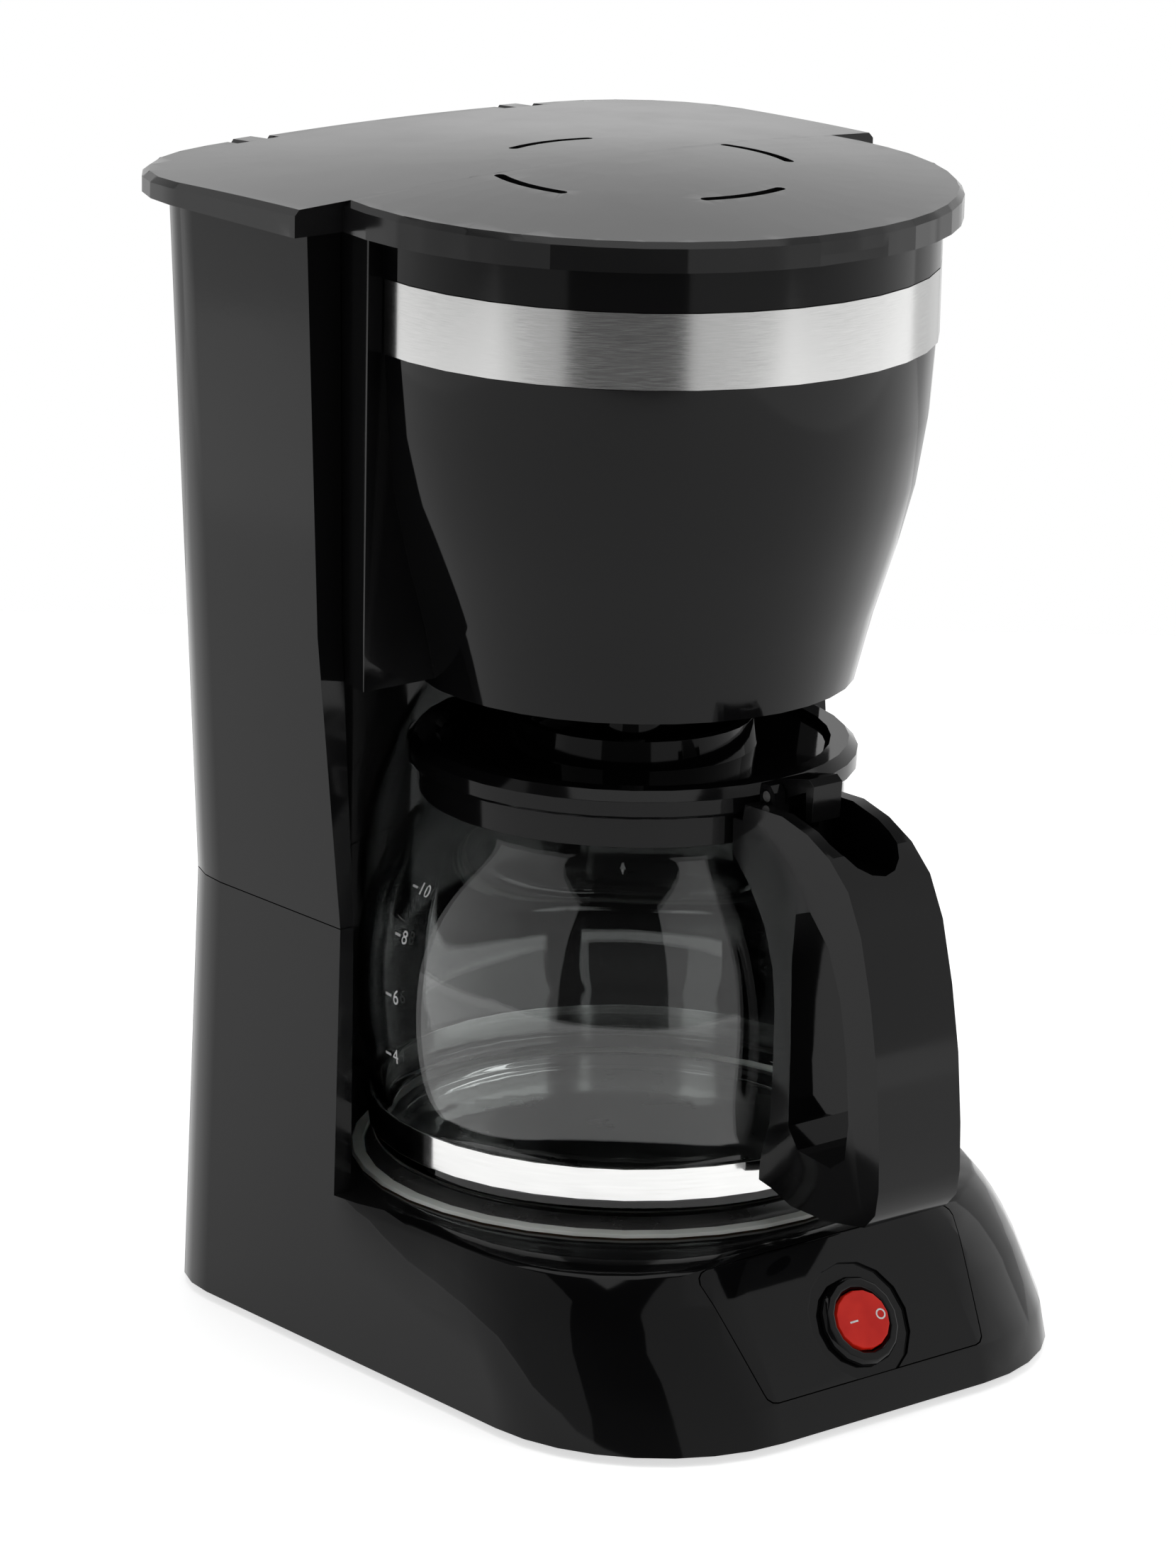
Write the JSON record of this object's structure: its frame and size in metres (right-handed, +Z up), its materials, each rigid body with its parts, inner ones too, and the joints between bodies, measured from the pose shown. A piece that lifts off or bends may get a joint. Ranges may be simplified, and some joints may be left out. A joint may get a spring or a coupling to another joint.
{
  "type": "drip coffee maker",
  "caption": "Free-standing drip coffee maker with a hinged lid, tank column, steel-banded brew head, warming plate, lit rocker switch and glass carafe.",
  "frame": {"origin": "on the brewing axis at the level the feet stand on, which is the bottom centre of the overall box", "axes": "+Z up, -Y towards the front with the switch and the carafe handle, +X to the right seen from the front"},
  "size_m": [0.202, 0.24, 0.3229],
  "materials": {
    "gloss_black": "high-gloss injection-moulded black ABS",
    "satin_black": "fine satin black polypropylene",
    "dark_rubber": "matt black rubber",
    "pale_silicone": "milky silicone",
    "brushed_steel": "brushed along the band",
    "polished_steel": "polished stainless",
    "cast_aluminium": "as cast",
    "plate_coating": "dark non-stick coating",
    "clear_glass": "clear polished borosilicate",
    "red_lens": "translucent red polycarbonate, lit from inside"
  },
  "bodies": {
    "housing": {"base_housing": "gloss_black", "control_panel": "gloss_black", "tank_housing": "gloss_black", "brew_head": "gloss_black", "bottom_cover": "satin_black", "filter_basket": "satin_black", "valve_cage": "satin_black", "check_valve": "satin_black", "riser_tube": "satin_black", "thermal_fuse": "satin_black", "switch_housing": "satin_black", "foot_front_left": "dark_rubber", "foot_front_right": "dark_rubber", "foot_rear_left": "dark_rubber", "foot_rear_right": "dark_rubber", "cord_grommet": "dark_rubber", "riser_seal": "dark_rubber", "plate_seal": "pale_silicone", "inlet_hose": "pale_silicone", "outlet_hose": "pale_silicone", "tank_hose": "pale_silicone", "steel_band": "brushed_steel", "element_clamp": "brushed_steel", "plate_stud_left": "brushed_steel", "plate_stud_right": "brushed_steel", "cover_screw_front_left": "brushed_steel", "cover_screw_front_right": "brushed_steel", "cover_screw_rear_left": "brushed_steel", "cover_screw_rear_right": "brushed_steel", "hinge_pin_left": "brushed_steel", "hinge_pin_right": "brushed_steel", "valve_spring": "polished_steel", "heating_element": "cast_aluminium", "thermostat": "cast_aluminium", "warming_plate": "plate_coating"},
    "lid": {"lid": "satin_black", "water_channel": "satin_black", "shower_head": "satin_black"},
    "rocker": {"switch_rocker": "red_lens"},
    "carafe": {"carafe_glass": "clear_glass", "carafe_strap": "polished_steel", "carafe_collar": "satin_black", "carafe_lid": "satin_black", "carafe_handle": "gloss_black", "carafe_lid_pin": "brushed_steel", "strap_screw": "brushed_steel"},
    "drip_valve": {"drip_stop_valve": "satin_black", "valve_seal": "pale_silicone"}
  },
  "joints": [
    {"name": "lid_hinge", "type": "hinge", "parent": "housing", "child": "lid", "pos_m": [0, 0.117, 0.3105], "axis": [-1, 0, 0], "range_deg": [0, 100]},
    {"name": "rocker_tilt", "type": "hinge", "parent": "housing", "child": "rocker", "pos_m": [0, -0.0987, 0.0252], "axis": [0, 0.5547, 0.8321], "range_deg": [0, 14]},
    {"name": "carafe_out", "type": "slide", "parent": "housing", "child": "carafe", "axis": [0, -1, 0], "range_m": [0, 0.2]},
    {"name": "drip_stop", "type": "slide", "parent": "housing", "child": "drip_valve", "axis": [0, 0, 1], "range_m": [-0.003, 0], "deforming": ["valve_spring"]}
  ],
  "couplings": [
    {"joint": "drip_stop", "follows": "carafe_out", "ratio": -0.015}
  ]
}
